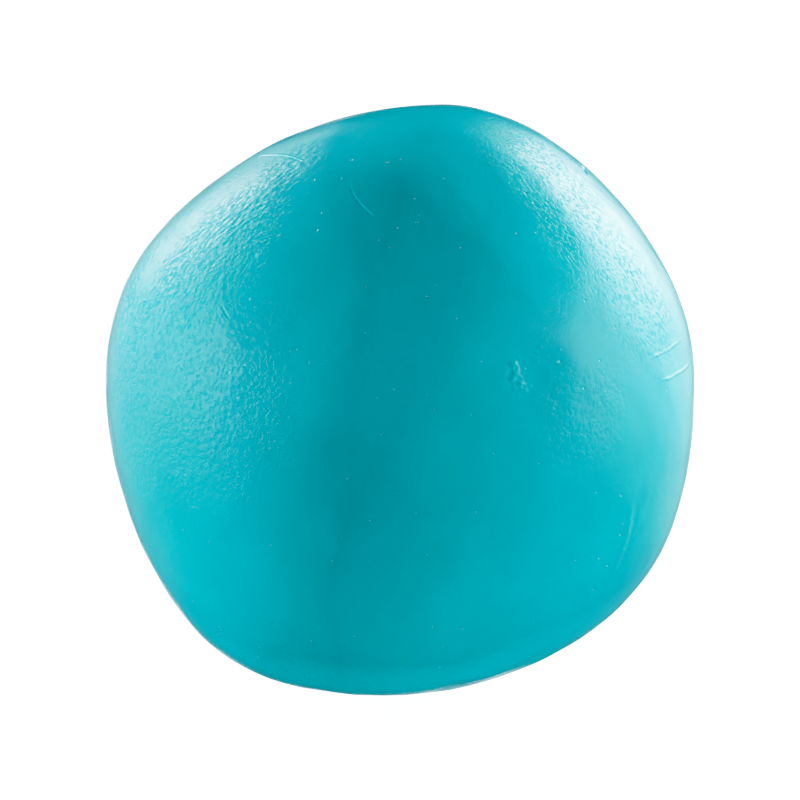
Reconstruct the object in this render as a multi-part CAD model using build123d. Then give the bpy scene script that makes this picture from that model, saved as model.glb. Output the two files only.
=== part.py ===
from build123d import *
import math
import os

# A dough-filled squeeze ball, 64 mm across, standing on its flattened foot.
# Frame: +Z up, front faces -Y, origin in the middle of the foot's flat patch
# height and centred on the ball's box in X and Y. Millimetres.

# ---- driving dimensions -------------------------------------------------
BALL_R = 32.0            # mean radius of the filled ball
PATCH_DROP = 1.95        # how far the ball has sat down on itself
FOOT_BLEND = 0.55        # softness of the turn between patch and side
WALL = 2.0               # moulded skin, radial thickness
SHIFT_X = 0.120          # brings the box centre to the origin
SHIFT_Y = -0.086

# Soft corners of a filled skin: radius change in mm, cosine and sine parts of
# each lobe about an axis that leans back TILT degrees from the front.
TILT = 25.0
LOBES = {
    2: (-0.072, 0.389),
    3: (-0.046, -0.220),
    4: (-0.135, -0.452),
    5: (0.039, 0.297),
    6: (0.004, 0.041),
    7: (-0.093, 0.092),
    8: (-0.069, 0.060),
    9: (0.044, -0.026),
    10: (-0.002, 0.024),
}
# Broad swells and hollows where the filling has shifted:
# azimuth from the front towards +X, elevation, height in mm, spread in degrees
SWELLS = [
    (205.0, 18.0, 0.55, 24.0),
    (150.0, -8.0, -0.40, 20.0),
    (262.0, 30.0, 0.30, 22.0),
    (178.0, 52.0, -0.35, 18.0),
    (118.0, 34.0, 0.30, 20.0),
]

# Filling port
PORT_AZ = 28.8           # degrees from the front towards +X
PORT_EL = 27.6           # degrees above the ball's middle
DIMPLE_DEPTH = 0.35      # the skin draws in round the port
DIMPLE_SPREAD = 4.6      # degrees
BOSS_R = 4.2
BOSS_DEPTH = 5.6         # below the port's surface
SEAT_R = 2.2             # counterbore for the plug's head
SEAT_DEPTH = 1.55
BORE_R = 1.3
HEAD_R = 2.1
HEAD_T = 0.75
GLUE_T = 0.15
SHANK_R = 1.3
BARB_R = 1.75
BARB_T = 0.9
SEAL_SET = 0.10          # the seal's face sits this far below the skin

N_AROUND = 36            # points on each level line
RINGS = [3.0, 8.0, 14.0, 21.0, 29.0, 38.0, 47.0, 56.0, 65.0, 74.0, 83.0,
         92.0, 101.0, 110.0, 119.0, 128.0, 136.0, 143.0, 149.0]


def direction(az, el):
    a, e = math.radians(az), math.radians(el)
    return (math.cos(e) * math.sin(a), -math.cos(e) * math.cos(a), math.sin(e))


AXIS = (0.0, -math.cos(math.radians(TILT)), math.sin(math.radians(TILT)))
UP = (0.0, math.sin(math.radians(TILT)), math.cos(math.radians(TILT)))
PORT = direction(PORT_AZ, PORT_EL)
SWELL_DIRS = [(direction(a, e), h, math.radians(s)) for a, e, h, s in SWELLS]
CENTRE_Z = BALL_R - PATCH_DROP


def dot(p, q):
    return p[0] * q[0] + p[1] * q[1] + p[2] * q[2]


def radius(n, dimple=True):
    """Distance from the ball's middle to its surface along the unit vector n."""
    c = dot(n, AXIS)
    s = math.sqrt(max(0.0, 1.0 - c * c))
    phi = math.atan2(dot(n, UP), n[0])
    r = BALL_R
    for k, (ck, sk) in LOBES.items():
        r += s ** k * (ck * math.cos(k * phi) + sk * math.sin(k * phi))
    for d, h, w in SWELL_DIRS:
        r += h * math.exp((dot(n, d) - 1.0) / (w * w))
    if dimple:
        w = math.radians(DIMPLE_SPREAD)
        r -= DIMPLE_DEPTH * math.exp((dot(n, PORT) - 1.0) / (w * w))
    return r


def level_radius(theta, h, inset, dimple):
    """Distance from the vertical axis to the surface, at height h above the middle."""
    lo, hi = 0.0, BALL_R * 1.2
    for _ in range(60):
        rho = 0.5 * (lo + hi)
        d = math.sqrt(rho * rho + h * h)
        n = (rho * math.cos(theta) / d, rho * math.sin(theta) / d, h / d)
        if d < radius(n, dimple) - inset:
            lo = rho
        else:
            hi = rho
    return 0.5 * (lo + hi)


def settle(z, w):
    """Raises what would be below zero to zero, with a soft turn of half-width w."""
    if z <= -w:
        return 0.0
    if z >= w:
        return z
    return (z + w) * (z + w) / (4.0 * w)


def level_line(h, z, inset, dimple):
    pts = []
    for i in range(N_AROUND):
        t = 2.0 * math.pi * i / N_AROUND
        rho = level_radius(t, h, inset, dimple)
        pts.append(Vector(SHIFT_X + rho * math.cos(t),
                          SHIFT_Y + rho * math.sin(t), z))
    return Wire([Edge.make_spline(pts, periodic=True)])


def filled_body(inset, dimple):
    """The closed body inset mm inside the outer surface, flat at the foot."""
    foot = inset                       # height of this body's flat underside
    w = FOOT_BLEND
    base_r = BALL_R - inset
    levels = []
    for f in (-1.0, -0.35, 0.35, 1.0):
        levels.append((foot + f * w, foot + settle(f * w, w)))
    start = levels[-1][0]
    for a in reversed(RINGS):
        z = CENTRE_Z + base_r * math.cos(math.radians(a))
        if z > start + 0.9:
            levels.append((z, z))
    wires = [level_line(z_raw - CENTRE_Z, z, inset, dimple) for z_raw, z in levels]
    body = Solid.make_loft(wires)
    return body


def along_port(r, near, far):
    """A round bar about the port's axis, from near to far from the ball's middle."""
    start = Vector(SHIFT_X, SHIFT_Y, CENTRE_Z) + Vector(*PORT) * near
    return Solid.make_cylinder(r, far - near, Plane(start, z_dir=Vector(*PORT)))


def port_ball(r):
    return Solid.make_sphere(r, Plane(Vector(SHIFT_X, SHIFT_Y, CENTRE_Z)))


os.makedirs("parts", exist_ok=True)

outer = filled_body(0.0, True)
inner = filled_body(WALL, False)

port_r = radius(PORT)
seat_r = port_r - SEAT_DEPTH
head_low = seat_r + GLUE_T
head_top = head_low + HEAD_T
bore_end = port_r - BOSS_DEPTH

# The moulded skin, with a boss inside round the filling port
boss = along_port(BOSS_R, bore_end, port_r - 0.4 * WALL)
cavity = inner - boss
skin = outer - cavity
skin = skin - along_port(BORE_R, bore_end - 1.0, seat_r + 0.2)
skin = skin - along_port(SEAT_R, seat_r, port_r + 3.0)

# The bung: a thin head in the counterbore, a shank in the bore, a barb inside
plug = along_port(HEAD_R, head_low, head_top)
plug = plug + along_port(SHANK_R, bore_end - 0.01, head_low + 0.1)
barb_start = Vector(SHIFT_X, SHIFT_Y, CENTRE_Z) + Vector(*PORT) * bore_end
plug = plug + Solid.make_cone(BARB_R, 0.9, BARB_T,
                              Plane(barb_start, z_dir=Vector(*PORT) * -1))

# Adhesive film between the head and the counterbore's floor
glue = along_port(HEAD_R, seat_r, head_low) - along_port(SHANK_R, seat_r - 0.5, head_low + 0.5)

# Sealing compound over the head, level with the skin
seal = along_port(SEAT_R, head_top, port_r + 2.0) & port_ball(port_r - SEAL_SET)

# The dough fills everything that is left
dough = cavity - plug


def one(shape):
    solids = shape.solids()
    return max(solids, key=lambda s: s.volume) if len(solids) > 0 else shape


NODES = {
    "outer_skin": skin,
    "dough_filling": dough,
    "fill_plug": plug,
    "plug_adhesive": glue,
    "port_seal": seal,
}
for name, shape in NODES.items():
    s = one(shape)
    box = s.bounding_box()
    print("%-14s solids %d volume %.2f box %.3f..%.3f %.3f..%.3f %.3f..%.3f valid %s" % (
        name, len(shape.solids()), s.volume, box.min.X, box.max.X, box.min.Y, box.max.Y,
        box.min.Z, box.max.Z, s.is_valid))
    export_step(s, "parts/" + name + ".step")
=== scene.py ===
import bpy
import bmesh
import math
import numpy as np
from mathutils import Matrix, Vector


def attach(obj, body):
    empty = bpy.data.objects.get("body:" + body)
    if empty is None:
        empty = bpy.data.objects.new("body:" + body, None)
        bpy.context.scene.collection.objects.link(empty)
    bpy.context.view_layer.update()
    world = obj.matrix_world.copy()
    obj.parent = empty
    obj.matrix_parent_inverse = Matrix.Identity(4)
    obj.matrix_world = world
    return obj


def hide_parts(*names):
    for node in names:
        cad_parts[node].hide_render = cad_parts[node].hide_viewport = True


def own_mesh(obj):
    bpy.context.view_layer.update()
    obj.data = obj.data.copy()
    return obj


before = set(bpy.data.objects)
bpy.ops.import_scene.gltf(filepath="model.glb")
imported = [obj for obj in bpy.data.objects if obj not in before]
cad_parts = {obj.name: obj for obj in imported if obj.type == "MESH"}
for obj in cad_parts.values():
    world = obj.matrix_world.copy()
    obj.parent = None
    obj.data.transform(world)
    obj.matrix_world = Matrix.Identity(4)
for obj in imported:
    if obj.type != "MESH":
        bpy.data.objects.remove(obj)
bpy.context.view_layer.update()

MM = 0.001

# --------------------------------------------------------------------------
# The ball's form, in millimetres: the same numbers as the CAD model
# --------------------------------------------------------------------------
BALL_R, PATCH_DROP, FOOT_BLEND, WALL = 32.0, 1.95, 0.55, 2.0
CENTRE = np.array([0.120, -0.086, BALL_R - PATCH_DROP])
TILT = math.radians(25.0)
LOBES = {
    2: (-0.072, 0.389), 3: (-0.046, -0.220), 4: (-0.135, -0.452), 5: (0.039, 0.297),
    6: (0.004, 0.041), 7: (-0.093, 0.092), 8: (-0.069, 0.060), 9: (0.044, -0.026),
    10: (-0.002, 0.024),
}
SWELLS = [
    (205.0, 18.0, 0.55, 24.0), (150.0, -8.0, -0.40, 20.0), (262.0, 30.0, 0.30, 22.0),
    (178.0, 52.0, -0.35, 18.0), (118.0, 34.0, 0.30, 20.0),
]
PORT_AZ, PORT_EL = 28.8, 27.6
DIMPLE_DEPTH, DIMPLE_SPREAD = 0.35, math.radians(4.6)
BOSS_R, BOSS_DEPTH, SEAT_R, SEAT_DEPTH, BORE_R = 4.2, 5.6, 2.2, 1.55, 1.3
HEAD_R, HEAD_T, GLUE_T, SHANK_R, BARB_R, BARB_T = 2.1, 0.75, 0.15, 1.3, 1.75, 0.9

AXIS = np.array([0.0, -math.cos(TILT), math.sin(TILT)])
UP = np.array([0.0, math.sin(TILT), math.cos(TILT)])
RIGHT = np.array([1.0, 0.0, 0.0])


def direction(az, el):
    a, e = math.radians(az), math.radians(el)
    return np.array([math.cos(e) * math.sin(a), -math.cos(e) * math.cos(a), math.sin(e)])


def unit(v):
    v = np.asarray(v, float)
    return v / np.linalg.norm(v, axis=-1, keepdims=True)


PORT = direction(PORT_AZ, PORT_EL)
PORT_U = unit(np.cross(UP, PORT))            # to the right across the port
PORT_V = np.cross(PORT, PORT_U)              # up across the port


def base_radius(n, dimple=True):
    c = n @ AXIS
    s = np.sqrt(np.maximum(0.0, 1.0 - c * c))
    phi = np.arctan2(n @ UP, n @ RIGHT)
    r = np.full(len(n), BALL_R)
    for k, (a, b) in LOBES.items():
        r += s ** k * (a * np.cos(k * phi) + b * np.sin(k * phi))
    for az, el, h, w in SWELLS:
        r += h * np.exp((n @ direction(az, el) - 1.0) / math.radians(w) ** 2)
    if dimple:
        r -= DIMPLE_DEPTH * np.exp((n @ PORT - 1.0) / DIMPLE_SPREAD ** 2)
    return r


def smooth(x, a, b):
    t = np.clip((x - a) / (b - a), 0.0, 1.0)
    return t * t * (3.0 - 2.0 * t)


def settle(z, w=FOOT_BLEND):
    return np.where(z <= -w, 0.0, np.where(z >= w, z, (z + w) ** 2 / (4.0 * w)))


class Field:
    """A smooth random field over space: many plane waves with seeded directions."""

    def __init__(self, seed, wavelength, count=70, along=None, spread=1.0):
        g = np.random.default_rng(seed)
        k = unit(g.normal(size=(count, 3)))
        if along is not None:                       # waves mostly across this direction
            a = unit(along)
            k = unit(k - (1.0 - spread) * (k @ a)[:, None] * a)
        lam = wavelength * np.exp(g.normal(0.0, 0.22, count))
        self.k = k * (2.0 * math.pi / lam)[:, None]
        self.phase = g.uniform(0.0, 2.0 * math.pi, count)
        self.scale = math.sqrt(2.0 / count)

    def __call__(self, p):
        out = np.zeros(len(p))
        for k, f in zip(self.k, self.phase):
            out += np.cos(p @ k + f)
        return out * self.scale


SLOW = Field(11, 13.0)
SWAY = Field(12, 6.0)
RIPPLE = Field(13, 2.6)
PEBBLE = Field(17, 1.5)
BREAKS = Field(14, 0.85)

# Marks on the skin: points along each, as directions from the ball's middle
MARKS = {
    "crease": [(-0.1729, -0.3020, 0.9375), (-0.1559, -0.3619, 0.9191), (-0.1326, -0.4050, 0.9046), (-0.1063, -0.4412, 0.8911), (-0.0834, -0.4669, 0.8804)],
    "arc": [(-0.4985, 0.1459, 0.8546), (-0.4742, 0.1232, 0.8717), (-0.4424, 0.0764, 0.8936), (-0.4071, 0.0252, 0.9130), (-0.3753, -0.0241, 0.9266), (-0.3471, -0.0720, 0.9350), (-0.3190, -0.1218, 0.9399)],
    "nick_a": [(0.8129, -0.4473, 0.3730), (0.8450, -0.3931, 0.3627), (0.8812, -0.3202, 0.3476), (0.9107, -0.2428, 0.3342), (0.9374, -0.1467, 0.3160)],
    "nick_b": [(0.8505, -0.4382, 0.2908), (0.8875, -0.3733, 0.2700), (0.9215, -0.2951, 0.2524), (0.9529, -0.1978, 0.2298), (0.9763, -0.0705, 0.2048)],
    "long": [(0.7715, -0.6348, -0.0429), (0.7649, -0.6356, -0.1046), (0.7551, -0.6350, -0.1633), (0.7423, -0.6317, -0.2235), (0.7233, -0.6296, -0.2836), (0.6987, -0.6211, -0.3551)],
    "notch": [(0.6000, 0.1938, 0.7762), (0.6061, 0.1508, 0.7810), (0.6141, 0.1159, 0.7807)],
    "notch_tail": [(0.5941, 0.0464, 0.8031), (0.5859, -0.0616, 0.8080), (0.5748, -0.1611, 0.8023)],
    "crack": [(-0.5827, -0.5406, 0.6068), (-0.5793, -0.5535, 0.5984), (-0.5693, -0.5731, 0.5895), (-0.5593, -0.5920, 0.5803)],
    "lip": [(0.3586, -0.7668, 0.5324), (0.3668, -0.7785, 0.5094), (0.3749, -0.7894, 0.4861), (0.3832, -0.7996, 0.4624), (0.3964, -0.8072, 0.4375), (0.4111, -0.8147, 0.4090)],
    # others of the same kind round the back and side, where the ball was held
    "back_a": [direction(196, 12), direction(203, 15.5), direction(211, 16.5), direction(219, 15)],
    "back_b": [direction(140, 40), direction(150, 43), direction(161, 43.5)],
    "back_c": [direction(250, -10), direction(253, -2), direction(252, 6)],
    "back_d": [direction(172, -4), direction(176, 3), direction(183, 8)],
}
# depth of a furrow, its half width, height of a ridge, its half width, how far to the side it lies,
# height of a step down to the right, and how broken the mark is along its length
MARK_FORM = {
    "crease": (0.040, 0.13, 0.016, 0.13, 0.24, 0.0, 0.3),
    "arc": (0.030, 0.11, 0.060, 0.10, 0.18, 0.0, 0.25),
    "nick_a": (0.0, 0.2, 0.048, 0.16, 0.0, 0.0, 0.35),
    "nick_b": (0.0, 0.2, 0.060, 0.16, 0.0, 0.0, 0.2),
    "long": (0.030, 0.60, 0.040, 0.45, -0.8, 0.0, 0.25),
    "notch": (0.150, 0.22, 0.020, 0.15, 0.35, 0.0, 0.2),
    "notch_tail": (0.0, 0.30, 0.0, 0.2, 0.0, -0.040, 0.2),
    "crack": (0.050, 0.12, 0.016, 0.12, 0.24, 0.0, 0.2),
    "lip": (0.0, 0.2, 0.070, 0.24, 0.0, 0.050, 1.0),
    "back_a": (0.030, 0.16, 0.020, 0.16, 0.30, 0.0, 0.2),
    "back_b": (0.0, 0.2, 0.035, 0.14, 0.0, 0.0, 0.3),
    "back_c": (0.030, 0.20, 0.015, 0.20, -0.35, 0.0, 0.2),
    "back_d": (0.024, 0.12, 0.0, 0.2, 0.0, 0.0, 0.1),
}
# small raised dots near the port and elsewhere
DOTS = [(0.3930, -0.7859, 0.4774), (0.4369, -0.7296, 0.5261), (0.4500, -0.7139, 0.5366), (0.4403, -0.7440, 0.5025),
        (0.4730, -0.7220, 0.5049), (0.5028, -0.7177, 0.4817), (0.4176, -0.7970, 0.4364), (0.5126, -0.6877, 0.5142),
        (-0.3236, -0.0711, 0.9435)]


def spline(points, count=60):
    """A smooth line of unit vectors through the given ones."""
    p = unit(np.array(points, float))
    ext = np.vstack([2 * p[0] - p[1], p, 2 * p[-1] - p[-2]])
    out = []
    for i in range(1, len(ext) - 2):
        a, b, c, d = ext[i - 1:i + 3]
        for t in np.linspace(0.0, 1.0, count, endpoint=False):
            out.append(0.5 * ((2 * b) + (c - a) * t + (2 * a - 5 * b + 4 * c - d) * t * t
                              + (3 * b - a - 3 * c + d) * t ** 3))
    out.append(p[-1])
    return unit(np.array(out))


LINES = {k: spline(v) for k, v in MARKS.items()}


def across(n, line):
    """Signed distance in mm from each direction to the line, and the place along it from 0 to 1."""
    d = np.full(len(n), 99.0)
    t = np.zeros(len(n))
    mid = unit(line.mean(0))
    reach = math.acos(max(-1.0, min(1.0, float((line @ mid).min())))) + 0.12
    near = np.nonzero(n @ mid > math.cos(reach))[0]
    if not len(near):
        return d, t
    q = n[near]
    best = np.full(len(q), -2.0)
    which = np.zeros(len(q), int)
    for i, l in enumerate(line):
        c = q @ l
        m = c > best
        best[m] = c[m]
        which[m] = i
    i0 = np.clip(which, 1, len(line) - 2)
    tangent = unit(line[i0 + 1] - line[i0 - 1])
    side = np.cross(line[which], tangent)
    rel = q - line[which]
    d_side = (rel * side).sum(1) * BALL_R
    d_far = np.linalg.norm(rel, axis=1) * BALL_R
    d[near] = np.sign(d_side + 1e-9) * np.maximum(np.abs(d_side), 0.0)
    ends = (which == 0) | (which == len(line) - 1)
    over = ends & (d_far > np.abs(d_side) + 0.02)
    dd = d[near]
    dd[over] = np.sign(dd[over] + 1e-9) * d_far[over]
    d[near] = dd
    t[near] = which / (len(line) - 1.0)
    return d, t


def patch(n, centre, inner, outer):
    """1 inside inner mm of a direction, 0 outside outer mm."""
    return 1.0 - smooth(np.linalg.norm(n - unit(centre), axis=1) * BALL_R, inner, outer)


LEFT_SPOTS = [((-0.6449, -0.2678, 0.7158), 6.0, 14.0), ((-0.3925, -0.0959, 0.9147), 2.0, 7.0), ((-0.85, -0.167, 0.499), 3.0, 9.0)]
# the middle of the patch of small pale raised dots
PALE_DOT_SPOT = (-0.562, -0.677, 0.475)
LOW_RIGHT_SPOT = (0.59, -0.747, 0.304)
LOW_LEFT_SPOT = (-0.7205, -0.61, 0.3298)
CALM_SPOTS = [(-0.828, -0.153, 0.540), (-0.783, -0.106, 0.613), (-0.707, -0.068, 0.704), (-0.628, -0.041, 0.777),
              (-0.545, -0.025, 0.838)]
RIGHT_SPOTS = [(0.421, -0.039, 0.906), (0.515, -0.165, 0.841), (0.607, -0.286, 0.741), (0.70, -0.32, 0.64),
               (0.784, -0.347, 0.515)]


def detail(n):
    """Everything that the hand and the mould left on the surface, in mm outwards."""
    p = n * BALL_R
    h = 0.045 * SLOW(p) + 0.016 * SWAY(p) + 0.0050 * RIPPLE(p) + 0.0018 * PEBBLE(p)
    for name, line in LINES.items():
        depth, w, lift, w2, off, step, broken = MARK_FORM[name]
        d, t = across(n, line)
        near = np.abs(d) < 3.5
        if not near.any():
            continue
        dn, tn = d[near], t[near]
        fade = smooth(tn, 0.0, 0.25) * (1.0 - smooth(tn, 0.72, 1.0))
        wob = 1.0 + broken * np.clip(BREAKS(p[near]), -1.1, 1.1)
        add = -depth * np.exp(-(dn / w) ** 2) + lift * np.exp(-((dn - off) / w2) ** 2)
        if step:
            # a flap edge: it rises gently from the left and drops off to the right
            add = step * np.where(dn < 0.0, np.exp(-(dn / 1.9) ** 2), 1.0) * (1.0 - smooth(dn, -0.10, 0.46))
        h[near] += add * fade * wob
    for c in DOTS:
        q = np.linalg.norm(n - unit(c), axis=1) * BALL_R
        h += 0.022 * np.exp(-(q / 0.15) ** 2)
    # the skin is drawn in a little beside the filling port
    q = (n - PORT) * BALL_R
    x, y = q @ PORT_U, q @ PORT_V
    h -= 0.035 * np.exp(-(((x - 0.5) / 1.3) ** 2 + ((y + 0.1) / 1.9) ** 2))
    return h


def surface(n, inset=0.0, dimple=True, fine=True):
    """Points in mm for unit directions n."""
    r = base_radius(n, dimple)
    if fine:
        r = r + detail(n)
    p = n * (r - inset)[:, None] + CENTRE
    p[:, 2] = settle(p[:, 2] - inset) + inset
    return p


# --------------------------------------------------------------------------
# Meshes
# --------------------------------------------------------------------------
def icosphere(freq):
    g = (1 + 5 ** 0.5) / 2
    v = unit(np.array([(-1, g, 0), (1, g, 0), (-1, -g, 0), (1, -g, 0), (0, -1, g), (0, 1, g),
                       (0, -1, -g), (0, 1, -g), (g, 0, -1), (g, 0, 1), (-g, 0, -1), (-g, 0, 1)], float))
    tri = [(0, 11, 5), (0, 5, 1), (0, 1, 7), (0, 7, 10), (0, 10, 11), (1, 5, 9), (5, 11, 4), (11, 10, 2),
           (10, 7, 6), (7, 1, 8), (3, 9, 4), (3, 4, 2), (3, 2, 6), (3, 6, 8), (3, 8, 9), (4, 9, 5),
           (2, 4, 11), (6, 2, 10), (8, 6, 7), (9, 8, 1)]
    pts, faces, base = [], [], 0
    for a, b, c in tri:
        index = {}
        for i in range(freq + 1):
            for j in range(freq + 1 - i):
                k = freq - i - j
                index[i, j] = base + len(index)
                pts.append((v[a] * k + v[b] * i + v[c] * j) / freq)
        base += len(index)
        for i in range(freq):
            for j in range(freq - i):
                faces.append((index[i, j], index[i + 1, j], index[i, j + 1]))
                if i + j < freq - 1:
                    faces.append((index[i + 1, j], index[i + 1, j + 1], index[i, j + 1]))
    pts = unit(np.array(pts))
    key = np.round(pts * 1e6).astype(np.int64)
    _, first, inverse = np.unique(key, axis=0, return_index=True, return_inverse=True)
    inverse = inverse.reshape(-1)
    return pts[first], inverse[np.array(faces)]


def wanted_edge(n):
    """How long an edge may be, in mm, at each direction."""
    e = np.full(len(n), 9.0)
    for name, line in LINES.items():
        d, t = across(n, line)
        depth, w, lift, w2, off, step, broken = MARK_FORM[name]
        narrow = min([w] * (depth > 0) + [w2] * (lift > 0) + [0.25] * (step != 0))
        reach = 2.4 * max([w] * (depth > 0) + [w2] * (lift > 0) + [0.25] * (step != 0)) + abs(off) + 0.06
        e = np.minimum(e, np.where(np.abs(d) < reach, 0.27 * narrow + 0.028, 9.0))
    for c in DOTS:
        q = np.linalg.norm(n - unit(c), axis=1) * BALL_R
        e = np.minimum(e, np.where(q < 0.42, 0.075, 9.0))
    q = np.linalg.norm(n - PORT, axis=1) * BALL_R
    e = np.minimum(e, np.where(q < 2.9, 0.16, 9.0))
    return e


def refine(bm, passes=3):
    for _ in range(passes):
        bm.verts.ensure_lookup_table()
        n = unit(np.array([v.co for v in bm.verts]))
        want = wanted_edge(n)
        picked = []
        for e in bm.edges:
            a, b = e.verts
            w = min(want[a.index], want[b.index])
            if w < 5.0 and e.calc_length() * BALL_R > 1.35 * w:
                picked.append(e)
        if not picked:
            break
        bmesh.ops.subdivide_edges(bm, edges=picked, cuts=1, use_grid_fill=True, use_single_edge=True)
        bmesh.ops.triangulate(bm, faces=[f for f in bm.faces if len(f.verts) > 3])
        for v in bm.verts:
            v.co.normalize()
        bm.verts.index_update()


def to_bmesh(pts, faces):
    me = bpy.data.meshes.new("tmp")
    me.from_pydata([tuple(p) for p in pts], [], [tuple(int(i) for i in f) for f in faces])
    bm = bmesh.new()
    bm.from_mesh(me)
    bpy.data.meshes.remove(me)
    return bm


def open_at_port(bm, radius_mm, at_r):
    """Cuts the unit sphere along the port's circle and removes the cap."""
    c = math.cos(math.asin(radius_mm / at_r))
    bmesh.ops.bisect_plane(bm, geom=bm.verts[:] + bm.edges[:] + bm.faces[:], dist=1e-7,
                           plane_co=Vector(PORT * c), plane_no=Vector(PORT), clear_outer=True)
    bmesh.ops.triangulate(bm, faces=[f for f in bm.faces if len(f.verts) > 3])


def rim_of(bm):
    """The open edge's vertices, in order round the port."""
    verts = {v for e in bm.edges if e.is_boundary for v in e.verts}

    def angle(v):
        return math.atan2(v.co.dot(Vector(PORT_V)), v.co.dot(Vector(PORT_U)))
    return sorted(verts, key=angle), angle


def zip_rings(bm, a, b, ang_a, ang_b):
    """Triangles between two rings that run the same way round."""
    na, nb, i, j = len(a), len(b), 0, 0
    ua = list(ang_a) + [ang_a[0] + 2 * math.pi]
    ub = list(ang_b) + [ang_b[0] + 2 * math.pi]
    while i < na or j < nb:
        step_a = j >= nb or (i < na and ua[i + 1] <= ub[j + 1])
        if step_a:
            tri = (a[i % na], a[(i + 1) % na], b[j % nb])
            i += 1
        else:
            tri = (a[i % na], b[(j + 1) % nb], b[j % nb])
            j += 1
        try:
            bm.faces.new(tri)
        except ValueError:
            pass


def ring(bm, r, dist, angles):
    """A ring of new vertices r mm from the port's axis and dist mm from the ball's middle."""
    out = []
    for t in angles:
        p = CENTRE + PORT * dist + (PORT_U * math.cos(t) + PORT_V * math.sin(t)) * r
        out.append(bm.verts.new(Vector(p)))
    return out


def place(bm, fn):
    bm.verts.ensure_lookup_table()
    n = unit(np.array([v.co for v in bm.verts]))
    p = fn(n)
    for v, q in zip(bm.verts, p):
        v.co = q
    return n


def finish_mesh(bm, name, body, material):
    """Turns a bmesh in mm into an object in metres with its rest place kept as an attribute."""
    bmesh.ops.recalc_face_normals(bm, faces=bm.faces[:])
    me = bpy.data.meshes.new(name)
    bm.to_mesh(me)
    bm.free()
    co = np.zeros(len(me.vertices) * 3)
    me.vertices.foreach_get("co", co)
    rest = me.attributes.new("rest", "FLOAT_VECTOR", "POINT")
    rest.data.foreach_set("vector", co.astype(np.float32))
    me.vertices.foreach_set("co", co * MM)
    me.polygons.foreach_set("use_smooth", np.ones(len(me.polygons), bool))
    me.set_sharp_from_angle(angle=math.radians(42.0))
    me.update()
    ob = bpy.data.objects.new(name, me)
    bpy.context.scene.collection.objects.link(ob)
    me.materials.append(material)
    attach(ob, body)
    return ob


# --------------------------------------------------------------------------
# Materials
# --------------------------------------------------------------------------
class Nodes:
    def __init__(self, name):
        self.mat = bpy.data.materials.new(name)
        self.mat.use_nodes = True
        self.t = self.mat.node_tree
        self.t.nodes.clear()
        self.out = self.add("ShaderNodeOutputMaterial")

    def add(self, kind, **props):
        n = self.t.nodes.new(kind)
        for k, v in props.items():
            setattr(n, k, v)
        return n

    def link(self, a, b):
        self.t.links.new(a, b)

    def rest(self):
        a = self.add("ShaderNodeAttribute", attribute_name="rest", attribute_type="GEOMETRY")
        return a.outputs["Vector"]

    def math(self, op, a, b=None, c=None):
        n = self.add("ShaderNodeMath", operation=op)
        for i, x in enumerate((a, b, c)):
            if x is None:
                continue
            if isinstance(x, (int, float)):
                n.inputs[i].default_value = x
            else:
                self.link(x, n.inputs[i])
        return n.outputs[0]

    def vmath(self, op, a, b=None, scale=None):
        n = self.add("ShaderNodeVectorMath", operation=op)
        for i, x in enumerate((a, b)):
            if x is None:
                continue
            if isinstance(x, (tuple, list, np.ndarray)):
                n.inputs[i].default_value = tuple(float(q) for q in x)
            else:
                self.link(x, n.inputs[i])
        if scale is not None:
            n.inputs["Scale"].default_value = scale
        return n.outputs["Value"] if op in ("DOT_PRODUCT", "LENGTH", "DISTANCE") else n.outputs["Vector"]

    def noise(self, vec, scale, detail=2.0, rough=0.5, distortion=0.0):
        n = self.add("ShaderNodeTexNoise")
        self.link(vec, n.inputs["Vector"])
        n.inputs["Scale"].default_value = scale
        n.inputs["Detail"].default_value = detail
        n.inputs["Roughness"].default_value = rough
        n.inputs["Distortion"].default_value = distortion
        return n.outputs["Fac"]

    def voronoi(self, vec, scale, feature="F1"):
        n = self.add("ShaderNodeTexVoronoi", feature=feature)
        self.link(vec, n.inputs["Vector"])
        n.inputs["Scale"].default_value = scale
        return n

    def ramp(self, x, a, b, lo=0.0, hi=1.0):
        n = self.add("ShaderNodeMapRange", interpolation_type="SMOOTHSTEP")
        self.link(x, n.inputs["Value"])
        n.inputs["From Min"].default_value = a
        n.inputs["From Max"].default_value = b
        n.inputs["To Min"].default_value = lo
        n.inputs["To Max"].default_value = hi
        return n.outputs["Result"]

    def mix(self, f, a, b):
        n = self.add("ShaderNodeMix", data_type="RGBA")
        if isinstance(f, (int, float)):
            n.inputs[0].default_value = f
        else:
            self.link(f, n.inputs[0])
        for i, x in ((6, a), (7, b)):
            if isinstance(x, tuple):
                n.inputs[i].default_value = (*x, 1.0)
            else:
                self.link(x, n.inputs[i])
        return n.outputs[2]

    def stretch(self, vec, along, factor):
        """Coordinates squeezed along a direction, so that a pattern runs long that way."""
        a = unit(along)
        d = self.vmath("DOT_PRODUCT", vec, a)
        d = self.math("MULTIPLY", d, -(1.0 - 1.0 / factor))
        s = self.add("ShaderNodeVectorMath", operation="SCALE")
        s.inputs[0].default_value = tuple(float(q) for q in a)
        self.link(d, s.inputs["Scale"])
        return self.vmath("ADD", vec, s.outputs["Vector"])

    def spot(self, vec, centre, inner, outer):
        """1 near a place on the ball (a direction), 0 away from it."""
        c = CENTRE + unit(centre) * BALL_R
        d = self.vmath("DISTANCE", vec, c)
        return self.ramp(d, inner, outer, 1.0, 0.0)


SKIN = dict(base=(0.0, 0.60, 0.732), deep=(0.0, 0.57, 0.695), gloss=0.11)
GRAIN = dict(blobs=0.040, fine=0.018, left=0.025, right=0.021, pebble=0.085)
# how far the coat is thinned in the grain's hollows: painted shade
HOLLOW_SHADE = dict(left=0.62, right=0.60, blobs=0.58)


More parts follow.
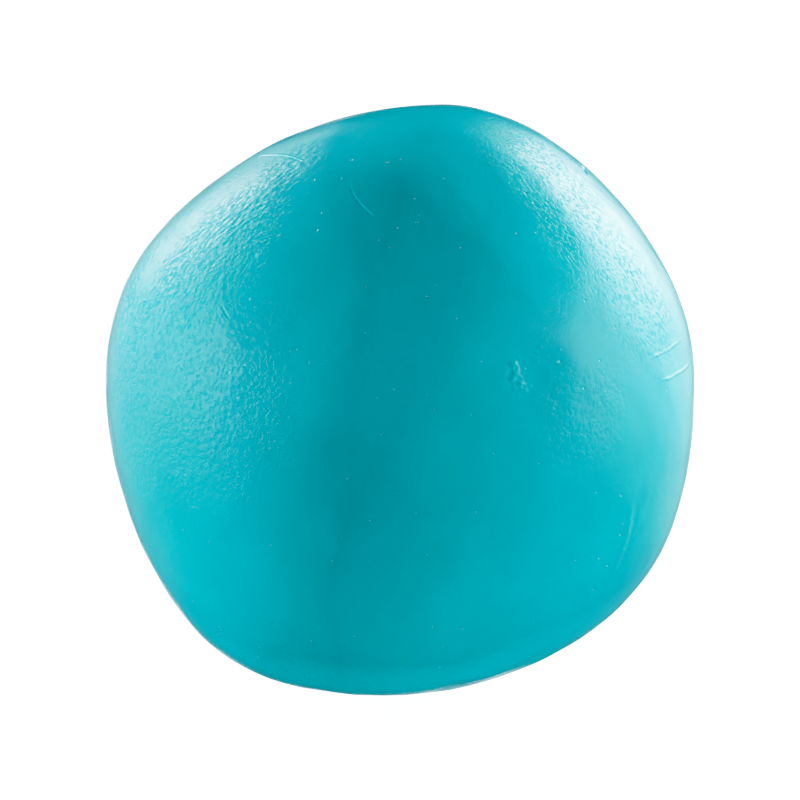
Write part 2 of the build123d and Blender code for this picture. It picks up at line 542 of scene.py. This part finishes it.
def rubber(name, lift=1.0):
    m = Nodes(name)
    v = m.rest()
    bsdf = m.add("ShaderNodeBsdfPrincipled")
    m.link(bsdf.outputs[0], m.out.inputs["Surface"])
    # colour: faint clouding in the moulded rubber, and rare pale specks of dust
    cloud = m.noise(v, 0.085, 3.0, 0.55, 0.4)
    col = m.mix(m.ramp(cloud, 0.35, 0.68), SKIN["deep"], SKIN["base"])
    fleck = m.voronoi(v, 0.62)
    size = m.ramp(fleck.outputs["Distance"], 0.035, 0.065, 1.0, 0.0)
    flock = m.noise(v, 0.11, 1.0, 0.5)
    speck = m.math("MULTIPLY", size, m.ramp(flock, 0.46, 0.56))
    col = m.mix(m.math("MULTIPLY", speck, 0.75), col, (0.16, 0.88, 0.95))
    # a patch of small raised dots on the left side, their colour paler than the skin
    dot_cells = m.voronoi(v, 0.80)
    pale_dot = m.math("MULTIPLY", m.ramp(dot_cells.outputs["Distance"], 0.05, 0.095, 1.0, 0.0), m.spot(v, PALE_DOT_SPOT, 5.0, 9.5))
    col = m.mix(m.math("MULTIPLY", pale_dot, 0.95), col, (0.38, 0.95, 1.0))
    m.link(col, bsdf.inputs["Base Color"])
    # grain: long wrinkles on the left shoulder, short fine ones on the right, soft pebbling between,
    # and nearly plain skin in places
    left = m.spot(v, LEFT_SPOTS[0][0], *LEFT_SPOTS[0][1:])
    for place_at, inner, outer in LEFT_SPOTS[1:]:
        left = m.math("MAXIMUM", left, m.spot(v, place_at, inner, outer))
    calm = m.spot(v, CALM_SPOTS[0], 0.6, 3.8)
    for place_at in CALM_SPOTS[1:]:
        calm = m.math("MAXIMUM", calm, m.spot(v, place_at, 0.6, 3.8))
    left = m.math("MULTIPLY", left, m.math("SUBTRACT", 1.0, m.math("MULTIPLY", calm, 0.8)))
    low = m.math("MAXIMUM", m.spot(v, LOW_LEFT_SPOT, 8.0, 19.0), m.math("MULTIPLY", m.spot(v, LOW_RIGHT_SPOT, 2.0, 8.5), 0.7))
    right = m.spot(v, RIGHT_SPOTS[0], 3.0, 10.5)
    for place_at in RIGHT_SPOTS[1:]:
        right = m.math("MAXIMUM", right, m.spot(v, place_at, 3.0, 10.5))
    lv = m.stretch(v, RIGHT * 0.68 + UP * 0.73, 1.45)
    rv = m.stretch(v, RIGHT * 0.50 - UP * 0.86, 2.0)
    lridge = m.noise(lv, 2.2, 2.0, 0.6, 0.7)
    rridge = m.noise(rv, 3.2, 1.5, 0.5, 0.4)
    # plateaus with narrow hollows between them
    lplain = m.ramp(lridge, 0.36, 0.52)
    rplain = m.ramp(rridge, 0.36, 0.52)
    cells = m.voronoi(m.stretch(v, RIGHT * 0.75 + UP * 0.66, 1.5), 1.8, "SMOOTH_F1").outputs["Distance"]
    where = m.noise(v, 0.17, 2.0, 0.5)
    patchy = m.ramp(where, 0.36, 0.62, 0.25, 1.2)
    blobs = m.noise(v, 1.9, 2.0, 0.55)
    fine = m.noise(v, 4.2, 1.0, 0.5)
    h = m.math("MULTIPLY", m.math("MULTIPLY", m.ramp(blobs, 0.36, 0.54), GRAIN["blobs"]), m.math("ADD", m.math("MULTIPLY", low, 0.95), 0.16))
    h = m.math("ADD", h, m.math("MULTIPLY", fine, GRAIN["fine"]))
    h = m.math("MULTIPLY", h, patchy)
    h = m.math("ADD", h, m.math("MULTIPLY", m.math("MULTIPLY", lplain, left), GRAIN["left"]))
    h = m.math("ADD", h, m.math("MULTIPLY", m.math("MULTIPLY", rplain, right), GRAIN["right"]))
    h = m.math("ADD", h, m.math("MULTIPLY", m.math("MULTIPLY", cells, m.math("MAXIMUM", left, m.math("MULTIPLY", low, 0.7))),
                                GRAIN["pebble"]))
    # scattered pinholes, and raised dots that catch the light
    holes = m.voronoi(v, 0.36)
    hole = m.ramp(holes.outputs["Distance"], 0.03, 0.075, 1.0, 0.0)
    h = m.math("SUBTRACT", h, m.math("MULTIPLY", hole, 0.09))
    h = m.math("ADD", h, m.math("MULTIPLY", speck, 0.06))
    h = m.math("ADD", h, m.math("MULTIPLY", pale_dot, 0.10))
    # the grain shows in the gloss; light that has gone into the rubber and come out again softens it
    for strength, socket in ((1.0, "Coat Normal"), (0.22, "Normal")):
        bump = m.add("ShaderNodeBump")
        bump.inputs["Strength"].default_value = strength
        bump.inputs["Distance"].default_value = MM
        m.link(h, bump.inputs["Height"])
        m.link(bump.outputs["Normal"], bsdf.inputs[socket])
    rough = m.ramp(m.noise(v, 0.35, 3.0, 0.6), 0.3, 0.7, 0.42, 0.56)
    m.link(rough, bsdf.inputs["Roughness"])
    bsdf.inputs["Specular IOR Level"].default_value = 0.0
    # painted shade in the grain's hollows: the coat is thinned there, so their gloss is darker than the tops'
    hollow_shade = m.math("MULTIPLY", m.math("MULTIPLY", m.ramp(lridge, 0.36, 0.54, 1.0, 0.0), left), HOLLOW_SHADE["left"])
    hollow_shade = m.math("ADD", hollow_shade, m.math("MULTIPLY", m.math("MULTIPLY", m.ramp(rridge, 0.36, 0.54, 1.0, 0.0), right), HOLLOW_SHADE["right"]))
    hollow_shade = m.math("ADD", hollow_shade, m.math("MULTIPLY", m.math("MULTIPLY", m.ramp(blobs, 0.36, 0.54, 1.0, 0.0), low), HOLLOW_SHADE["blobs"]))
    m.link(m.math("SUBTRACT", 1.0, hollow_shade), bsdf.inputs["Coat Weight"])
    bsdf.inputs["Coat IOR"].default_value = 1.5
    bsdf.inputs["Coat Roughness"].default_value = SKIN["gloss"]
    return m.mat


def plain(name, colour, dark, rough, scale, bump_mm, speckle=None):
    m = Nodes(name)
    v = m.rest()
    bsdf = m.add("ShaderNodeBsdfPrincipled")
    m.link(bsdf.outputs[0], m.out.inputs["Surface"])
    n = m.noise(v, scale, 4.0, 0.6)
    m.link(m.mix(m.ramp(n, 0.3, 0.7), dark, colour), bsdf.inputs["Base Color"])
    m.link(m.ramp(n, 0.3, 0.7, rough + 0.06, rough - 0.04), bsdf.inputs["Roughness"])
    b = m.add("ShaderNodeBump")
    b.inputs["Strength"].default_value = 1.0
    b.inputs["Distance"].default_value = MM
    m.link(m.math("MULTIPLY", m.noise(v, scale * 3.0, 3.0, 0.55), bump_mm), b.inputs["Height"])
    m.link(b.outputs["Normal"], bsdf.inputs["Normal"])
    return m.mat


skin_mat = rubber("skin_rubber")
seal_mat = rubber("sealant")
dough_mat = plain("dough", (0.80, 0.77, 0.68), (0.70, 0.67, 0.57), 0.62, 0.3, 0.03)
plug_mat = plain("plug_rubber", (0.02, 0.42, 0.48), (0.015, 0.36, 0.42), 0.42, 0.8, 0.01)
glue_mat = plain("adhesive", (0.83, 0.79, 0.62), (0.78, 0.72, 0.52), 0.18, 1.2, 0.01)

# --------------------------------------------------------------------------
# Pieces
# --------------------------------------------------------------------------
port_r = float(base_radius(PORT[None])[0])
seat_r = port_r - SEAT_DEPTH
head_low = seat_r + GLUE_T
head_top = head_low + HEAD_T
bore_end = port_r - BOSS_DEPTH
TURN = np.linspace(-math.pi, math.pi, 72, endpoint=False)

# The skin: outer face, the port's counterbore and bore, the boss, and the inner face
pts, faces = icosphere(70)
bm = to_bmesh(pts, faces)
refine(bm)
open_at_port(bm, SEAT_R, port_r)
place(bm, surface)


def port_angles(verts):
    c = Vector(CENTRE)
    return [math.atan2((v.co - c).dot(Vector(PORT_V)), (v.co - c).dot(Vector(PORT_U))) for v in verts]


rim = [v for v in bm.verts if v.is_boundary]
rim.sort(key=lambda v: port_angles([v])[0])
rim_a = port_angles(rim)
lip_out = []
for v, t in zip(rim, rim_a):
    d = (v.co - Vector(CENTRE)).dot(Vector(PORT))
    lip_out.append(bm.verts.new(Vector(CENTRE + PORT * (d - 0.15) + (PORT_U * math.cos(t) + PORT_V * math.sin(t)) * SEAT_R)))
zip_rings(bm, rim, lip_out, rim_a, rim_a)
low = ring(bm, SEAT_R, seat_r, TURN)
zip_rings(bm, lip_out, low, rim_a, TURN)
seat_in = ring(bm, BORE_R, seat_r, TURN)
zip_rings(bm, low, seat_in, TURN, TURN)
bore_out = ring(bm, BORE_R, bore_end, TURN)
zip_rings(bm, seat_in, bore_out, TURN, TURN)
boss_low = ring(bm, BOSS_R, bore_end, TURN)
zip_rings(bm, bore_out, boss_low, TURN, TURN)

ip, ifc = icosphere(26)
bi = to_bmesh(ip, ifc)
open_at_port(bi, BOSS_R, port_r - WALL)
place(bi, lambda n: surface(n, WALL, False, False))
tmp = bpy.data.meshes.new("tmp_inner")
bi.to_mesh(tmp)
bi.free()
old = set(bm.verts)
bm.from_mesh(tmp)
bpy.data.meshes.remove(tmp)
inner_rim = [v for v in bm.verts if v not in old and v.is_boundary]
inner_rim.sort(key=lambda v: port_angles([v])[0])
zip_rings(bm, boss_low, inner_rim, TURN, port_angles(inner_rim))
skin = finish_mesh(bm, "squeeze_skin", "ball", skin_mat)

# The dough: a soft lump that fills the skin, with the boss's socket in it
ip, ifc = icosphere(34)
bd = to_bmesh(ip, ifc)
open_at_port(bd, BOSS_R, port_r - WALL)
DOUGH_GRAIN = Field(31, 4.5)


def dough_face(n):
    p = surface(n, WALL + 0.06, False, False)
    return p - n * (0.05 * (1.0 + DOUGH_GRAIN(n * BALL_R)))[:, None].clip(0.0, 0.2)


place(bd, dough_face)
drim = [v for v in bd.verts if v.is_boundary]
drim.sort(key=lambda v: port_angles([v])[0])
socket = ring(bd, BOSS_R + 0.05, bore_end - 0.02, TURN)
zip_rings(bd, drim, socket, port_angles(drim), TURN)
barb = ring(bd, BARB_R + 0.05, bore_end - 0.03, TURN)
zip_rings(bd, socket, barb, TURN, TURN)
tip = ring(bd, 0.95, bore_end - BARB_T - 0.05, TURN)
zip_rings(bd, barb, tip, TURN, TURN)
end = bd.verts.new(Vector(CENTRE + PORT * (bore_end - BARB_T - 0.06)))
for i in range(len(tip)):
    bd.faces.new((tip[i], tip[(i + 1) % len(tip)], end))
dough = finish_mesh(bd, "dough_core", "ball", dough_mat)


def turned(name, profile, material, closed=True):
    """A round piece about the port's axis from (radius, distance from the ball's middle) pairs."""
    b = bmesh.new()
    rings = []
    for r, d in profile:
        if r < 1e-6:
            rings.append([b.verts.new(Vector(CENTRE + PORT * d))])
        else:
            rings.append(ring(b, r, d, TURN))
    pairs = list(zip(rings, rings[1:]))
    if closed:
        pairs.append((rings[-1], rings[0]))
    for a, c in pairs:
        for i in range(len(TURN)):
            j = (i + 1) % len(TURN)
            if len(a) == 1:
                b.faces.new((a[0], c[i], c[j]))
            elif len(c) == 1:
                b.faces.new((a[i], a[j], c[0]))
            else:
                b.faces.new((a[i], a[j], c[j], c[i]))
    bmesh.ops.triangulate(b, faces=b.faces[:])
    return finish_mesh(b, name, "plug", material)


e = 0.05
plug = turned("port_bung", [
    (0.0, head_top), (HEAD_R - 0.18, head_top), (HEAD_R - e, head_top - 0.04), (HEAD_R, head_top - 0.16),
    (HEAD_R, head_low + e), (HEAD_R - e, head_low), (SHANK_R - 0.01, head_low),
    (SHANK_R - 0.01, bore_end + 0.02), (SHANK_R - 0.01, bore_end - 0.02), (BARB_R - 0.06, bore_end - 0.02),
    (BARB_R, bore_end - 0.08), (1.35, bore_end - 0.5), (0.9, bore_end - BARB_T), (0.0, bore_end - BARB_T)],
    plug_mat, closed=False)
glue = turned("bung_glue", [
    (HEAD_R, seat_r + 0.01), (HEAD_R + 0.03, seat_r + 0.07), (HEAD_R, head_low - 0.005),
    (SHANK_R + 0.01, head_low - 0.005), (SHANK_R + 0.01, seat_r + 0.01)], glue_mat)

# The seal: a disc of compound whose face carries on the skin's own surface
bs = bmesh.new()
SEAL_R = SEAT_R - 0.008
count, rows = 96, 22
turn = np.linspace(-math.pi, math.pi, count, endpoint=False)
face_rings = []
for k in range(1, rows + 1):
    r = SEAL_R * k / rows
    a = math.asin(r / port_r)
    n = np.array([PORT * math.cos(a) + (PORT_U * math.cos(t) + PORT_V * math.sin(t)) * math.sin(a) for t in turn])
    p = surface(n)
    drop = 0.008 * smooth(np.array([r]), SEAL_R - 0.16, SEAL_R)[0]
    p = p - PORT * drop
    face_rings.append([bs.verts.new(Vector(q)) for q in p])
mid = surface(PORT[None])[0]
top = bs.verts.new(Vector(mid))
for i in range(count):
    bs.faces.new((top, face_rings[0][i], face_rings[0][(i + 1) % count]))
for a, b in zip(face_rings, face_rings[1:]):
    for i in range(count):
        j = (i + 1) % count
        bs.faces.new((a[i], b[i], b[j], a[j]))
under = [bs.verts.new(Vector(CENTRE + PORT * (head_top + 0.01) + (PORT_U * math.cos(t) + PORT_V * math.sin(t)) * SEAL_R)) for t in turn]
for i in range(count):
    j = (i + 1) % count
    bs.faces.new((face_rings[-1][i], under[i], under[j], face_rings[-1][j]))
centre_low = bs.verts.new(Vector(CENTRE + PORT * (head_top + 0.01)))
for i in range(count):
    bs.faces.new((under[i], centre_low, under[(i + 1) % count]))
bmesh.ops.triangulate(bs, faces=bs.faces[:])
seal = finish_mesh(bs, "port_dot", "plug", seal_mat)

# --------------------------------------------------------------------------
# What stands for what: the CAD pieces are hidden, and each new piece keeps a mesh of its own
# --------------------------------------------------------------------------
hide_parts("outer_skin")
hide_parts("dough_filling")
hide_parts("fill_plug")
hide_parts("plug_adhesive")
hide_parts("port_seal")

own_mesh(skin)
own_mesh(dough)
for piece in (plug, glue, seal):
    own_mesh(piece)

# --------------------------------------------------------------------------
# Camera, floor and light
# --------------------------------------------------------------------------
scene = bpy.context.scene
scene.view_settings.view_transform = "Standard"
scene.view_settings.look = "None"
scene.view_settings.exposure = 0.0
scene.view_settings.gamma = 1.0

# bright tones roll off softly, as in a print, instead of clipping
scene.view_settings.use_curve_mapping = True
tone = scene.view_settings.curve_mapping
TOP = 2.6
tone.white_level = (TOP, TOP, TOP)
rgb = tone.curves[3]
rgb.points[0].location = (0.0, 0.0)
rgb.points[1].location = (1.0, 1.0)
for x, y in ((0.25, 0.25), (0.46, 0.457), (0.58, 0.56), (0.77, 0.66), (1.0, 0.77), (1.3, 0.865), (1.6, 0.925), (2.1, 0.98)):
    rgb.points.new(x / TOP, y)
tone.update()

CAM_D = 600.0
cam_data = bpy.data.cameras.new("camera")
cam = bpy.data.objects.new("camera", cam_data)
scene.collection.objects.link(cam)
scene.camera = cam
cam_data.sensor_width = 36.0
FOCAL_PX = 296.3 * math.sqrt(CAM_D ** 2 - BALL_R ** 2) / BALL_R
cam_data.lens = FOCAL_PX * 36.0 / 800.0
cam_data.clip_start, cam_data.clip_end = 0.01, 20.0
aim = CENTRE + RIGHT * (-1.6 * CAM_D / FOCAL_PX) + UP * (4.1 * CAM_D / FOCAL_PX)
cam.location = Vector((aim + AXIS * CAM_D) * MM)
cam.rotation_mode = "QUATERNION"
cam.rotation_quaternion = (-Vector(AXIS)).to_track_quat("-Z", "Y")

floor_me = bpy.data.meshes.new("floor")
F = 3.0
floor_me.from_pydata([(-F, -F, 0), (F, -F, 0), (F, F, 0), (-F, F, 0)], [], [(0, 1, 2, 3)])
floor = bpy.data.objects.new("floor", floor_me)
scene.collection.objects.link(floor)
fm = Nodes("pale_floor")
fb = fm.add("ShaderNodeBsdfPrincipled")
fb.inputs["Base Color"].default_value = (0.9, 0.9, 0.9, 1.0)
fb.inputs["Roughness"].default_value = 0.9
fb.inputs["Specular IOR Level"].default_value = 0.0
fb.inputs["Emission Color"].default_value = (1.0, 1.0, 1.0, 1.0)
fb.inputs["Emission Strength"].default_value = 2.0
fm.link(fb.outputs[0], fm.out.inputs["Surface"])
floor_me.materials.append(fm.mat)
floor.visible_glossy = False
floor.visible_diffuse = False

world = bpy.data.worlds.new("studio")
scene.world = world
world.use_nodes = True
wt = world.node_tree
wt.nodes.clear()


def wmath(op, *xs):
    n = wt.nodes.new("ShaderNodeMath")
    n.operation = op
    for i, x in enumerate(xs):
        if isinstance(x, (int, float)):
            n.inputs[i].default_value = x
        else:
            wt.links.new(x, n.inputs[i])
    return n.outputs[0]


def wramp(x, a, b, lo=0.0, hi=1.0):
    n = wt.nodes.new("ShaderNodeMapRange")
    n.interpolation_type = "SMOOTHSTEP"
    wt.links.new(x, n.inputs["Value"])
    for s, val in (("From Min", a), ("From Max", b), ("To Min", lo), ("To Max", hi)):
        n.inputs[s].default_value = val
    return n.outputs["Result"]


tc = wt.nodes.new("ShaderNodeTexCoord")
sep = wt.nodes.new("ShaderNodeSeparateXYZ")
wt.links.new(tc.outputs["Generated"], sep.inputs[0])
# azimuth from the front, positive to the right, and elevation, in degrees
az = wmath("MULTIPLY", wmath("ARCTAN2", sep.outputs["X"], wmath("MULTIPLY", sep.outputs["Y"], -1.0)), 180.0 / math.pi)
el = wmath("MULTIPLY", wmath("ARCSINE", sep.outputs["Z"]), 180.0 / math.pi)
away = wmath("ABSOLUTE", az)


def box_light(side, front, back, floor_lo, top, gain, hot, corner):
    turn = wmath("MULTIPLY", az, side)
    s = wmath("MULTIPLY", wramp(turn, 0.0, 1.0), wramp(turn, corner[0], corner[1], 1.0, 0.0))
    a = wmath("MULTIPLY", wramp(away, front[0], front[1]), wramp(away, back[0], back[1], 1.0, back[2]))
    level = wramp(away, 85.0, 135.0, gain[0], gain[1])
    # brightest where the lamp stands behind the cloth
    du = wmath("DIVIDE", wmath("SUBTRACT", turn, hot[0]), hot[2])
    dv = wmath("DIVIDE", wmath("SUBTRACT", el, hot[1]), hot[3])
    dist = wmath("SQRT", wmath("ADD", wmath("MULTIPLY", du, du), wmath("MULTIPLY", dv, dv)))
    level = wmath("ADD", level, wramp(dist, 0.0, 1.0, hot[4], 0.0))
    level = wmath("MULTIPLY", level, wramp(turn, 150.0, 165.0, 1.0, corner[3]))
    # the lower edge slopes: it hangs further down towards the back, and the top droops there too
    low = wramp(away, 78.0, 140.0, floor_lo[0], floor_lo[1])
    part = wmath("DIVIDE", wmath("SUBTRACT", el, low), wmath("SUBTRACT", floor_lo[2], low))
    high = wmath("ADD", el, wramp(turn, 148.0, 172.0, 0.0, corner[2]))
    e = wmath("MULTIPLY", wramp(part, 0.0, 1.0), wramp(high, top[0], top[1], 1.0, 0.0))
    return wmath("MULTIPLY", wmath("MULTIPLY", s, a), wmath("MULTIPLY", level, e))


left = box_light(-1.0, (70.0, 77.5), (152.0, 172.0, 0.45), (-22.0, -44.0, 12.0), (23.0, 30.5), (2.65, 2.35),
                 (146.0, 14.0, 34.0, 24.0, 2.6), (168.0, 175.0, 15.0, 0.66))
right = box_light(1.0, (69.0, 86.0), (148.0, 167.0, 0.42), (-18.0, -48.0, 12.0), (23.0, 32.0), (2.2, 3.2),
                  (143.0, 12.0, 46.0, 32.0, 5.0), (160.0, 173.0, 9.0, 1.0))
# straight behind, the white sweep of the studio shows as a hairline round the ball
behind = wmath("SUBTRACT", wmath("MULTIPLY", sep.outputs["Y"], math.cos(TILT)), wmath("MULTIPLY", sep.outputs["Z"], math.sin(TILT)))
sweep = wramp(behind, 0.972, 0.996, 0.0, 1.5)
soft = wmath("ADD", wmath("ADD", left, right), sweep)
bg = wt.nodes.new("ShaderNodeBackground")
wt.links.new(soft, bg.inputs["Strength"])
bg.inputs["Color"].default_value = (1.0, 1.0, 1.0, 1.0)
pale = wt.nodes.new("ShaderNodeBackground")
pale.inputs["Color"].default_value = (1.0, 1.0, 1.0, 1.0)
pale.inputs["Strength"].default_value = 0.97
lp = wt.nodes.new("ShaderNodeLightPath")
mixw = wt.nodes.new("ShaderNodeMixShader")
wt.links.new(lp.outputs["Is Camera Ray"], mixw.inputs[0])
wt.links.new(bg.outputs[0], mixw.inputs[1])
wt.links.new(pale.outputs[0], mixw.inputs[2])
wout = wt.nodes.new("ShaderNodeOutputWorld")
wt.links.new(mixw.outputs[0], wout.inputs["Surface"])


def fill(name, az_deg, el_deg, strength):
    """A soft even fill for the rubber's own colour: it leaves no highlight and no shadow."""
    d = bpy.data.lights.new(name, "SUN")
    d.angle = 0.0
    d.energy = strength
    d.use_shadow = False
    o = bpy.data.objects.new(name, d)
    scene.collection.objects.link(o)
    v = Vector(direction(az_deg, el_deg))
    o.location = v + Vector(CENTRE * MM)
    o.rotation_mode = "QUATERNION"
    o.rotation_quaternion = v.to_track_quat("Z", "Y")
    o.visible_camera = False
    o.visible_glossy = False
    return o


FILLS = [(-40.0, -20.0, 1.63), (80.0, 0.0, 1.38), (-100.0, 0.0, 1.20), (120.0, 80.0, 1.08), (80.0, -20.0, 1.04),
         (-160.0, 20.0, 0.71), (180.0, -55.0, 4.2)]
for i, (a, e, k) in enumerate(FILLS):
    fill("fill_%d" % i, a, e, k)
